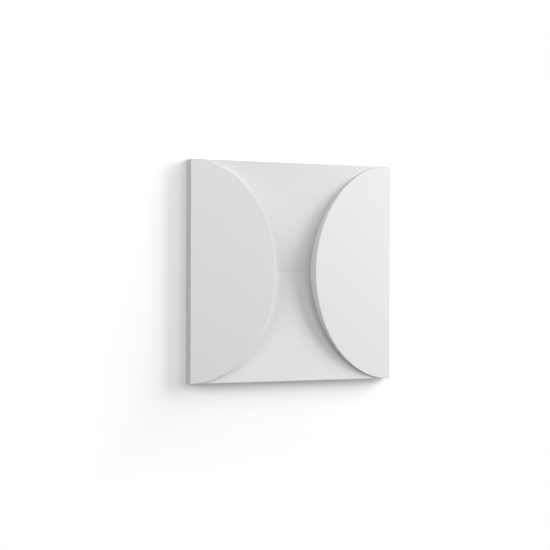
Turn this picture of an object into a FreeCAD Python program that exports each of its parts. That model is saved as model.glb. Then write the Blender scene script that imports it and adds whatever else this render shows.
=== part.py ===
import FreeCAD, Part
import math
import os

# A square wall panel tile, moulded in one piece, lying flat on its back.
# Two raised flaps face each other across a valley that dips to a crease.
# X runs from flap to flap, Y runs along the valley, Z points out of the front.
# All sizes are in millimetres.

# The outline of the tile. Its rim has the same height on all four sides,
# so that neighbouring tiles meet flush whichever way they are turned.
TILE_SIDE = 333.0
EDGE_HEIGHT = 20.0

# The flaps rise from the rim to this height at their tips.
FULL_DEPTH = 29.0

# The gap between the two tips.
TIP_GAP = 66.6

# How far each flap's oval would run on past the upper and lower side.
FLAP_OVERRUN = 0.5

# What is left of the thickness at the crease, where the valley is deepest.
CREASE_THICKNESS = 8.0

# The softened front edges that moulding leaves.
SOFT_EDGE_RADIUS = 0.5

# Sizes that follow from the ones above.
half_side = TILE_SIDE / 2
flap_reach = half_side - TIP_GAP / 2
flap_half_length = half_side + FLAP_OVERRUN
flap_slope = (FULL_DEPTH - EDGE_HEIGHT) / flap_reach

# How wide a flap still is where its oval meets the upper or lower side.
flap_end_width = flap_reach * math.sqrt(1 - (half_side / flap_half_length) ** 2)


def soften_front_edges(solid):
    """Round every edge that lies wholly at the height of the rim or above."""
    lowest = EDGE_HEIGHT - 0.01
    edges = [
        edge for edge in solid.Edges
        if all(vertex.Z > lowest for vertex in edge.Vertexes)
    ]
    return solid.makeFillet(SOFT_EDGE_RADIUS, edges)


def valley_body():
    """The body of the tile between the flaps, with the creased valley on top."""
    # The body ends inside the flaps, a little way in from their short sides.
    half_width = half_side - flap_end_width * 0.6
    corners = [
        FreeCAD.Vector(-half_width, -half_side, 0),
        FreeCAD.Vector(-half_width, half_side, 0),
        FreeCAD.Vector(-half_width, half_side, EDGE_HEIGHT),
        FreeCAD.Vector(-half_width, 0, CREASE_THICKNESS),
        FreeCAD.Vector(-half_width, -half_side, EDGE_HEIGHT),
    ]
    outline = Part.Face(Part.makePolygon(corners + corners[:1]))
    return soften_front_edges(outline.extrude(FreeCAD.Vector(half_width * 2, 0, 0)))


def block_under_flap_face(left, half_length):
    """A block from X = left to the tile's middle, cut off at the tilted plane of a flap's face."""
    height_at_left = EDGE_HEIGHT + flap_slope * (left + half_side)
    height_at_middle = EDGE_HEIGHT + flap_slope * half_side
    corners = [
        FreeCAD.Vector(left, -half_length, 0),
        FreeCAD.Vector(0, -half_length, 0),
        FreeCAD.Vector(0, -half_length, height_at_middle),
        FreeCAD.Vector(left, -half_length, height_at_left),
    ]
    end_face = Part.Face(Part.makePolygon(corners + corners[:1]))
    return end_face.extrude(FreeCAD.Vector(0, half_length * 2, 0))


def left_flap():
    """Half an upright oval whose face is tilted, rising towards the tip."""
    centre = FreeCAD.Vector(-half_side, 0, 0)
    oval_end = centre + FreeCAD.Vector(0, flap_half_length, 0)
    oval_tip = centre + FreeCAD.Vector(flap_reach, 0, 0)
    oval = Part.Wire([Part.Ellipse(oval_end, oval_tip, centre).toShape()])
    column = Part.Face(oval).extrude(FreeCAD.Vector(0, 0, FULL_DEPTH * 2))

    # The whole oval gets its soft rim first, out beyond the tile's own sides.
    # It is then trimmed to the tile, whose outer edges are softened as well.
    whole_oval = column.common(block_under_flap_face(-TILE_SIDE, TILE_SIDE))
    trim = block_under_flap_face(-half_side, half_side)
    return soften_front_edges(whole_oval).common(soften_front_edges(trim)).Solids[0]


def wall_panel_tile():
    """The whole tile as one solid."""
    left = left_flap()
    right = left.mirror(FreeCAD.Vector(0, 0, 0), FreeCAD.Vector(1, 0, 0))
    fused = valley_body().fuse([left, right]).removeSplitter()
    return fused.Solids[0]


os.makedirs("parts", exist_ok=True)
wall_panel_tile().exportStep("parts/wall_panel_tile.step")
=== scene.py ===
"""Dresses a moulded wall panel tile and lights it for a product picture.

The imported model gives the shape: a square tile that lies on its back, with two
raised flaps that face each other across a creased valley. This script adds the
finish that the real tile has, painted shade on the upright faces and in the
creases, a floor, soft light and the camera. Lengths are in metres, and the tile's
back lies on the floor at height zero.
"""

import logging
import math
from dataclasses import dataclass
from enum import Enum
from typing import Any, Mapping, Optional, Sequence, Union

import bpy
from mathutils import Matrix, Vector


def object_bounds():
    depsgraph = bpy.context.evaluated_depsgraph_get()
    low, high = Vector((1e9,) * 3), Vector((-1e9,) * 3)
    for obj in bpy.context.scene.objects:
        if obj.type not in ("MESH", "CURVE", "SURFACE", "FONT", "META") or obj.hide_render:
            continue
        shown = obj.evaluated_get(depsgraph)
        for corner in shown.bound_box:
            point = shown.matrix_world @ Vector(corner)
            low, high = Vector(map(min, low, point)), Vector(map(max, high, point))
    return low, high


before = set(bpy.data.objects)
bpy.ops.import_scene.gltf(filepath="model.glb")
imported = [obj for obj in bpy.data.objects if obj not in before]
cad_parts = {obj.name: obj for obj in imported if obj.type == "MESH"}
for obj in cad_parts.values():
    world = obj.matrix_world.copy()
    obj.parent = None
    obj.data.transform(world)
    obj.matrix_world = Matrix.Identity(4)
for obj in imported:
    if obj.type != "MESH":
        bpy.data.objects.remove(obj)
cad_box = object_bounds()

log = logging.getLogger("wall_panel_tile")

MM = 0.001

# The tile's own sizes that its finish follows.
HALF_SIDE = cad_box[1][0]
TIP_GAP = 66.6 * MM
FLAP_OVERRUN = 0.5 * MM
FLAP_REACH = HALF_SIDE - TIP_GAP / 2
FLAP_HALF_LENGTH = HALF_SIDE + FLAP_OVERRUN
EDGE_HEIGHT = 20.0 * MM
CREASE_THICKNESS = 8.0 * MM

# How many finer layers a cloudy pattern has, and how strong they are.
NOISE_LAYERS = 3.0
NOISE_ROUGHNESS = 0.55

PHOTO_WIDTH = 550

Colour = tuple[float, float, float]
Point = tuple[float, float, float]
Limits = tuple[float, float]

WHITE: Colour = (1.0, 1.0, 1.0)


class Op(Enum):
    """The sums that a Math node does for the expressions below."""

    ADD = "ADD"
    SUBTRACT = "SUBTRACT"
    MULTIPLY = "MULTIPLY"
    DIVIDE = "DIVIDE"
    MAXIMUM = "MAXIMUM"
    ABSOLUTE = "ABSOLUTE"
    SQUARE_ROOT = "SQRT"


class Value:
    """A number in a material: one socket that can be used in Python sums."""

    def __init__(self, nodes: "Nodes", socket: bpy.types.NodeSocket) -> None:
        """Wraps a socket.

        Args:
            nodes: the material that the socket is in.
            socket: the output that carries the number.
        """
        self.nodes = nodes
        self.socket = socket

    def _sum(self, op: Op, first: "Term", second: "Term" = 0.0) -> "Value":
        """Adds one Math node and returns its result."""
        made = self.nodes.add("ShaderNodeMath", {"operation": op.value}, {0: first, 1: second})
        return Value(self.nodes, made.outputs[0])

    def __add__(self, other: "Term") -> "Value":
        """Returns self + other."""
        return self._sum(Op.ADD, self, other)

    def __radd__(self, other: "Term") -> "Value":
        """Returns other + self."""
        return self._sum(Op.ADD, other, self)

    def __sub__(self, other: "Term") -> "Value":
        """Returns self - other."""
        return self._sum(Op.SUBTRACT, self, other)

    def __rsub__(self, other: "Term") -> "Value":
        """Returns other - self."""
        return self._sum(Op.SUBTRACT, other, self)

    def __mul__(self, other: "Term") -> "Value":
        """Returns self * other."""
        return self._sum(Op.MULTIPLY, self, other)

    def __rmul__(self, other: "Term") -> "Value":
        """Returns other * self."""
        return self._sum(Op.MULTIPLY, other, self)

    def __truediv__(self, other: "Term") -> "Value":
        """Returns self / other."""
        return self._sum(Op.DIVIDE, self, other)

    def __rtruediv__(self, other: "Term") -> "Value":
        """Returns other / self."""
        return self._sum(Op.DIVIDE, other, self)

    def __neg__(self) -> "Value":
        """Returns -self."""
        return self._sum(Op.MULTIPLY, self, -1.0)

    def __abs__(self) -> "Value":
        """Returns self without its sign."""
        return self._sum(Op.ABSOLUTE, self)

    def root(self) -> "Value":
        """Returns the square root of self."""
        return self._sum(Op.SQUARE_ROOT, self)

    def or_more(self, least: "Term") -> "Value":
        """Returns the larger of self and least."""
        return self._sum(Op.MAXIMUM, self, least)

    def ramp(self, start: float, end: float) -> "Value":
        """Maps self to a smooth step.

        Args:
            start: where the step is 0.
            end: where the step is 1.

        Returns:
            0 before the start, 1 after the end and a soft curve between them.
        """
        made = self.nodes.add(
            "ShaderNodeMapRange",
            {"interpolation_type": "SMOOTHSTEP"},
            {"Value": self, "From Min": start, "From Max": end},
        )
        return Value(self.nodes, made.outputs["Result"])


Term = Union[Value, float]


class Nodes:
    """The node tree of one material or of the world, and how nodes are put in it."""

    def __init__(self, owner: Union[bpy.types.Material, bpy.types.World]) -> None:
        """Empties the owner's tree.

        Args:
            owner: the material or world that is to be filled.
        """
        owner.use_nodes = True
        self.tree = owner.node_tree
        self.tree.nodes.clear()

    def add(
        self,
        kind: str,
        settings: Optional[Mapping[str, Any]] = None,
        inputs: Optional[Mapping[Union[int, str], Any]] = None,
    ) -> bpy.types.Node:
        """Adds a node.

        Args:
            kind: the node's type.
            settings: the node's own choices, which are set first.
            inputs: what goes in each socket: a number, a colour, a socket or a Value.

        Returns:
            The new node.
        """
        node = self.tree.nodes.new(kind)
        for name, choice in (settings or {}).items():
            setattr(node, name, choice)
        for key, given in (inputs or {}).items():
            self.put(node.inputs[key], given)
        return node

    def put(self, socket: bpy.types.NodeSocket, given: Any) -> None:
        """Links an input to what is given, or sets its number or colour."""
        if isinstance(given, Value):
            given = given.socket
        if isinstance(given, bpy.types.NodeSocket):
            self.tree.links.new(given, socket)
        else:
            socket.default_value = given

    def mix_colours(self, share: Term, first: Any, second: Any) -> bpy.types.NodeSocket:
        """Blends two colours.

        Args:
            share: how much of the second colour shows.
            first: a colour or a socket.
            second: a colour or a socket.

        Returns:
            The blended colour's socket.
        """
        node = self.add("ShaderNodeMix", {"data_type": "RGBA"})
        by_name = {(s.name, s.type): s for s in node.inputs}
        self.put(by_name["Factor", "VALUE"], share)
        self.put(by_name["A", "RGBA"], solid(first))
        self.put(by_name["B", "RGBA"], solid(second))
        return next(s for s in node.outputs if s.type == "RGBA")

    def place(self) -> bpy.types.NodeSocket:
        """Returns the point's place on the object, in metres."""
        return self.add("ShaderNodeTexCoord").outputs["Object"]

    def parts(self, vector: bpy.types.NodeSocket) -> Sequence[Value]:
        """Returns the three parts of a vector."""
        split = self.add("ShaderNodeSeparateXYZ", None, {0: vector})
        return [Value(self, out) for out in split.outputs]

    def upward(self) -> Value:
        """Returns how far the surface faces up: 1 straight up, 0 sideways and -1 down."""
        return self.parts(self.add("ShaderNodeTexCoord").outputs["Normal"])[2]

    def noise(self, place: bpy.types.NodeSocket, size: float) -> Value:
        """Makes a cloudy pattern.

        Args:
            place: where on the object the pattern is read.
            size: the width of one cloud, in metres.

        Returns:
            A value around 0.5.
        """
        node = self.add(
            "ShaderNodeTexNoise",
            {"noise_dimensions": "3D"},
            {
                "Vector": place,
                "Scale": 1.0 / size,
                "Detail": NOISE_LAYERS,
                "Roughness": NOISE_ROUGHNESS,
            },
        )
        return Value(self, node.outputs[0])

    def cells(self, place: bpy.types.NodeSocket, size: float) -> Value:
        """Returns the distance to the nearest of many scattered points, 0 at a point."""
        node = self.add(
            "ShaderNodeTexVoronoi", {"feature": "F1"}, {"Vector": place, "Scale": 1.0 / size}
        )
        return Value(self, node.outputs["Distance"])

    def bump(
        self, height: Value, depth: float, under: Optional[bpy.types.NodeSocket] = None
    ) -> bpy.types.NodeSocket:
        """Makes relief.

        Args:
            height: the relief, from 0 to 1.
            depth: how far it reaches, in metres.
            under: the normal of the relief that this one is added to.

        Returns:
            The normal's socket.
        """
        inputs = {"Height": height, "Distance": depth, "Strength": 1.0}
        if under is not None:
            inputs["Normal"] = under
        return self.add("ShaderNodeBump", None, inputs).outputs["Normal"]

    def seen_directly(self) -> Value:
        """Returns 1 for what the camera sees, also through glass or off gloss, and 0 for light."""
        path = self.add("ShaderNodeLightPath")
        seen = Value(self, path.outputs["Is Camera Ray"])
        seen = seen.or_more(Value(self, path.outputs["Is Glossy Ray"]))
        return seen.or_more(Value(self, path.outputs["Is Transmission Ray"]))


def solid(colour: Any) -> Any:
    """Returns a colour with an alpha of 1, and a socket as it is."""
    return (*colour, 1.0) if isinstance(colour, tuple) else colour


@dataclass(frozen=True)
class PrimedFoam:
    """Dense moulded foam with a matt white primer on every side but the back.

    Attributes:
        primer: the colour of the primer.
        thin_primer: its colour where it is a little thinner.
        side_painted_shade: painted shade on the upright faces, a darker colour than the primer.
        crease_painted_shade: painted shade, a darker line in the crease at the foot of each flap.
        crease_reach: how far the painted shade in the crease reaches.
        cloud_size: the width of the patches where the primer is thinner.
        cloud_limits: where in the cloudy pattern the primer starts to be thinner, and is thinnest.
        upright_limits: how far up a face looks where it still counts as upright, and where it
            doesn't at all.
        stipple_size: the width of the primer's fine stipple.
        stipple_depth: the height of the stipple.
        back_limits: how far down a face looks where it starts to be bare, and where it is bare.
        bare_foam: the colour of the bare foam at the back.
        pore_colour: the colour in its pores.
        pore_share: how much of that colour shows.
        pore_size: the width of a pore.
        pore_depth: the depth of a pore.
        pore_limits: where a pore is deepest and where it ends, in parts of its width.
        roughness: how dull the primer is.
        thin_roughness: how much duller it is where it is thinner.
        bare_roughness: how much duller the bare foam is.
        gloss: how strongly the surface reflects.
    """

    primer: Colour = (0.788, 0.788, 0.788)
    thin_primer: Colour = (0.783, 0.783, 0.783)
    # Painted shade: the upright faces are darker than the primer.
    side_painted_shade: Colour = (0.668, 0.668, 0.668)
    # Painted shade: a darker line in the crease at the foot of each flap.
    crease_painted_shade: Colour = (0.6, 0.6, 0.6)
    crease_reach: float = 1.6 * MM
    cloud_size: float = 45.0 * MM
    cloud_limits: Limits = (0.3, 0.7)
    upright_limits: Limits = (0.2, 0.95)
    stipple_size: float = 1.1 * MM
    stipple_depth: float = 0.014 * MM
    back_limits: Limits = (0.6, 0.9)
    bare_foam: Colour = (0.74, 0.72, 0.66)
    pore_colour: Colour = (0.55, 0.53, 0.48)
    pore_share: float = 0.35
    pore_size: float = 1.6 * MM
    pore_depth: float = 0.12 * MM
    pore_limits: Limits = (0.05, 0.45)
    roughness: float = 0.7
    thin_roughness: float = 0.08
    bare_roughness: float = 0.12
    gloss: float = 0.1

    def from_crease(self, nodes: Nodes, place: bpy.types.NodeSocket) -> Value:
        """Measures how far a point is from the line where a flap's wall meets the valley.

        Args:
            nodes: the material.
            place: where the point is on the object.

        Returns:
            The distance, in metres.
        """
        across, along, height = nodes.parts(place)

        # How far the point is from the flap's oval, seen from above. A true distance is hard to
        # work out for an oval, and this one is close enough near its line.
        from_side = (HALF_SIDE - abs(across)) / FLAP_REACH
        from_middle = along / FLAP_HALF_LENGTH
        off_oval = (from_side * from_side + from_middle * from_middle).root() - 1.0
        beside = abs(off_oval) * ((FLAP_REACH + FLAP_HALF_LENGTH) / 2)

        # How far it is above or below the valley's sloping floor.
        valley = CREASE_THICKNESS + abs(along) * ((EDGE_HEIGHT - CREASE_THICKNESS) / HALF_SIDE)
        return beside.or_more(abs(height - valley))

    def build(self) -> bpy.types.Material:
        """Returns the material."""
        material = bpy.data.materials.new("primed_foam")
        nodes = Nodes(material)
        place = nodes.place()
        upward = nodes.upward()
        back = (-upward).ramp(*self.back_limits)

        # The primer, a little uneven, with painted shade that darkens the upright faces and, most,
        # the creases.
        clouds = nodes.noise(place, self.cloud_size).ramp(*self.cloud_limits)
        primer_and_shade = nodes.mix_colours(clouds, self.primer, self.thin_primer)
        # Painted shade on the upright faces.
        upright = 1.0 - upward.ramp(*self.upright_limits)
        primer_and_shade = nodes.mix_colours(upright, primer_and_shade, self.side_painted_shade)
        # Painted shade in the crease at the foot of each flap.
        crease = 1.0 - self.from_crease(nodes, place).ramp(0.0, self.crease_reach)
        primer_and_shade = nodes.mix_colours(crease, primer_and_shade, self.crease_painted_shade)

        # The bare foam at the back, with darker pores.
        pores = 1.0 - nodes.cells(place, self.pore_size).ramp(*self.pore_limits)
        foam = nodes.mix_colours(pores * self.pore_share, self.bare_foam, self.pore_colour)

        stipple = nodes.noise(place, self.stipple_size) * (1.0 - back)
        fine = nodes.bump(stipple, self.stipple_depth)
        shader = nodes.add(
            "ShaderNodeBsdfPrincipled",
            None,
            {
                "Base Color": nodes.mix_colours(back, primer_and_shade, foam),
                "Roughness": self.roughness
                + self.thin_roughness * clouds
                + self.bare_roughness * back,
                "Specular IOR Level": self.gloss,
                "Normal": nodes.bump((1.0 - pores) * back, self.pore_depth, fine),
            },
        )
        nodes.add("ShaderNodeOutputMaterial", None, {"Surface": shader.outputs[0]})
        return material


@dataclass
class Tile:
    """The tile itself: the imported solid, with its finish.

    Attributes:
        node: the solid's name.
        finish: what its surface is made of.
    """

    node: str = "wall_panel_tile"
    finish: PrimedFoam = PrimedFoam()

    def dress(self, solids: Mapping[str, bpy.types.Object]) -> bpy.types.Object:
        """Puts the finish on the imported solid.

        Args:
            solids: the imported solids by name.

        Returns:
            The dressed solid.
        """
        tile = solids[self.node]
        tile.data.materials.clear()
        tile.data.materials.append(self.finish.build())
        return tile


@dataclass
class Floor:
    """The pale floor, which shows the tile's shadow and is plain white beyond it.

    It is open under the tile, where nothing sees it, so that a view from below
    shows the tile's back.

    Attributes:
        half_width: from the middle to the floor's side.
        half_opening: from the middle to the opening's side.
        drop: how far the floor is under the tile's back, so that the two don't flicker.
        colour: the floor's colour for the light that it throws back.
        seen_colour: its colour where it is seen directly.
        whitening: the glow that is added where it is seen directly.
        shadow_reach: from the middle to where the floor starts to turn plain white.
        white_from: from the middle to where it is plain white, however it is lit.
    """

    half_width: float = 4.0
    half_opening: float = 0.15
    drop: float = 0.05 * MM
    colour: Colour = (0.55, 0.55, 0.55)
    seen_colour: Colour = (0.96, 0.96, 0.96)
    whitening: float = 0.16
    shadow_reach: float = 0.2
    white_from: float = 0.32

    def build(self) -> bpy.types.Object:
        """Returns the floor, marked as part of the stage."""
        corners = [(-1, -1), (1, -1), (1, 1), (-1, 1)]
        points = [
            (x * reach, y * reach, -self.drop)
            for reach in (self.half_opening, self.half_width)
            for x, y in corners
        ]
        # One face on each side of the opening, between its corners and the floor's.
        faces = [(i, i + 4, (i + 1) % 4 + 4, (i + 1) % 4) for i in range(4)]
        mesh = bpy.data.meshes.new("floor")
        mesh.from_pydata(points, [], faces)
        floor = bpy.data.objects.new("floor", mesh)
        bpy.context.scene.collection.objects.link(floor)
        mesh.materials.append(self.paint())
        return floor

    def paint(self) -> bpy.types.Material:
        """Returns a matt paint that is whiter where it is seen than in the light it throws back."""
        material = bpy.data.materials.new("floor_paint")
        nodes = Nodes(material)
        plain = nodes.add("ShaderNodeBsdfDiffuse", None, {"Color": solid(self.colour)})
        white = nodes.add("ShaderNodeBsdfDiffuse", None, {"Color": solid(self.seen_colour)})
        glow = nodes.add(
            "ShaderNodeEmission", None, {"Color": solid(WHITE), "Strength": self.whitening}
        )
        near = nodes.add("ShaderNodeAddShader", None, {0: white.outputs[0], 1: glow.outputs[0]})
        far = nodes.add("ShaderNodeEmission", None, {"Color": solid(WHITE), "Strength": 1.0})
        across, along, _ = nodes.parts(nodes.place())
        away = abs(across).or_more(abs(along)).ramp(self.shadow_reach, self.white_from)
        seen = nodes.add(
            "ShaderNodeMixShader", None, {0: away, 1: near.outputs[0], 2: far.outputs[0]}
        )
        both = nodes.add(
            "ShaderNodeMixShader",
            None,
            {0: nodes.seen_directly(), 1: plain.outputs[0], 2: seen.outputs[0]},
        )
        nodes.add("ShaderNodeOutputMaterial", None, {"Surface": both.outputs[0]})
        return material


@dataclass(frozen=True)
class SoftLamp:
    """A round or flattened soft lamp that faces the middle of the tile's back.

    Attributes:
        name: what it is for.
        lean: how far it stands from straight above, in degrees.
        bearing: the side it stands on, in degrees from the right, turning to the far side.
        power: its power in watts.
        size: its width.
        distance: how far away it is.
        height: its height, where it is flattened. A round lamp has none.
    """

    name: str
    lean: float
    bearing: float
    power: float
    size: float
    distance: float
    height: Optional[float] = None

    def build(self) -> bpy.types.Object:
        """Hangs the lamp in the scene and returns it."""
        lamp = bpy.data.lights.new(self.name, "AREA")
        lamp.shape = "ELLIPSE"
        lamp.size = self.size
        lamp.size_y = self.height or self.size
        lamp.energy = self.power
        holder = bpy.data.objects.new(self.name, lamp)
        lean, bearing = math.radians(self.lean), math.radians(self.bearing)
        towards = Vector(
            (
                math.sin(lean) * math.cos(bearing),
                math.sin(lean) * math.sin(bearing),
                math.cos(lean),
            )
        )
        holder.location = towards * self.distance
        holder.rotation_euler = towards.to_track_quat("Z", "Y").to_euler()
        holder.visible_camera = False
        bpy.context.scene.collection.objects.link(holder)
        return holder


@dataclass
class StudioLight:
    """The soft lamps, and weak even light from all round.

    Attributes:
        lamps: three lights from the right, four that fill their shadows, a weak one low down
            for the near side, and one under the floor's opening for the back.
        ambient: the strength of the even light.
    """

    lamps: Sequence[SoftLamp] = (
        SoftLamp("key_light", lean=66.0, bearing=15.0, power=51.4, size=1.56, distance=2.6),
        SoftLamp("far_key", lean=72.0, bearing=48.0, power=25.7, size=1.56, distance=2.6),
        SoftLamp("high_key", lean=60.0, bearing=37.0, power=7.3, size=1.56, distance=2.6),
        SoftLamp("top_right_fill", lean=28.0, bearing=0.0, power=11.3, size=1.4, distance=2.8),
        SoftLamp("top_far_fill", lean=28.0, bearing=60.0, power=14.2, size=1.4, distance=2.8),
        SoftLamp("left_fill", lean=59.0, bearing=166.0, power=23.2, size=1.56, distance=2.6),
        SoftLamp("far_left_fill", lean=72.0, bearing=150.0, power=11.3, size=1.56, distance=2.6),
        SoftLamp(
            "near_side_fill",
            lean=89.1,
            bearing=270.0,
            power=0.8,
            size=0.7,
            distance=0.8,
            height=0.022,
        ),
        SoftLamp("back_light", lean=180.0, bearing=0.0, power=30.0, size=1.2, distance=2.1),
    )
    ambient: float = 0.01

    def build(self) -> Sequence[bpy.types.Object]:
        """Lights the scene and returns the lamps."""
        self.light_world()
        return [lamp.build() for lamp in self.lamps]

    def light_world(self) -> None:
        """Makes the even light, which is plain white where it is seen directly."""
        world = bpy.data.worlds.new("even_light")
        bpy.context.scene.world = world
        nodes = Nodes(world)
        white = solid(WHITE)
        light = nodes.add("ShaderNodeBackground", None, {"Color": white, "Strength": self.ambient})
        backdrop = nodes.add("ShaderNodeBackground", None, {"Color": white, "Strength": 1.0})
        both = nodes.add(
            "ShaderNodeMixShader",
            None,
            {0: nodes.seen_directly(), 1: light.outputs[0], 2: backdrop.outputs[0]},
        )
        nodes.add("ShaderNodeOutputWorld", None, {"Surface": both.outputs[0]})


@dataclass
class PhotoCamera:
    """The camera, above the tile and to its left, with the tile's far side up.

    Attributes:
        place: where the camera is.
        turn: how far it looks to the right of straight down, in degrees.
        pitch: how far it looks up the tile, in degrees.
        roll: how far the picture is turned, in degrees.
        focal_pixels: the focal length, in pixels of the photograph.
        sensor: the sensor's width in millimetres.
    """

    place: Point = (-0.8384, -0.0073, 1.8682)
    turn: float = 23.598
    pitch: float = 0.069
    roll: float = 0.206
    focal_pixels: float = 1331.3
    sensor: float = 36.0

    def build(self) -> bpy.types.Object:
        """Makes the camera and gives it to the scene.

        Returns:
            The camera.
        """
        camera = bpy.data.cameras.new("camera")
        camera.sensor_width = self.sensor
        camera.lens = self.focal_pixels * self.sensor / PHOTO_WIDTH
        holder = bpy.data.objects.new("camera", camera)
        turn, pitch, roll = (math.radians(a) for a in (self.turn, self.pitch, self.roll))
        # A camera that isn't turned looks straight down, with the tile's far side up.
        holder.matrix_world = (
            Matrix.Translation(self.place)
            @ Matrix.Rotation(-turn, 4, "Y")
            @ Matrix.Rotation(pitch, 4, "X")
            @ Matrix.Rotation(roll, 4, "Z")
        )
        bpy.context.scene.collection.objects.link(holder)
        bpy.context.scene.camera = holder
        return holder


def main() -> None:
    """Builds the dressed tile and everything round it."""
    logging.basicConfig(level=logging.INFO, format="%(message)s")
    bpy.context.scene.view_settings.view_transform = "Standard"
    tile = Tile().dress(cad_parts)
    log.info("%s: %d faces", tile.name, len(tile.data.polygons))
    floor = Floor().build()
    log.info("%s: %.1f m wide", floor.name, floor.dimensions.x)
    for lamp in StudioLight().build():
        log.info("%s: %.2f m away", lamp.name, lamp.location.length)
    camera = PhotoCamera().build()
    log.info("%s: %.1f mm lens", camera.name, camera.data.lens)


if __name__ == "__main__":
    main()
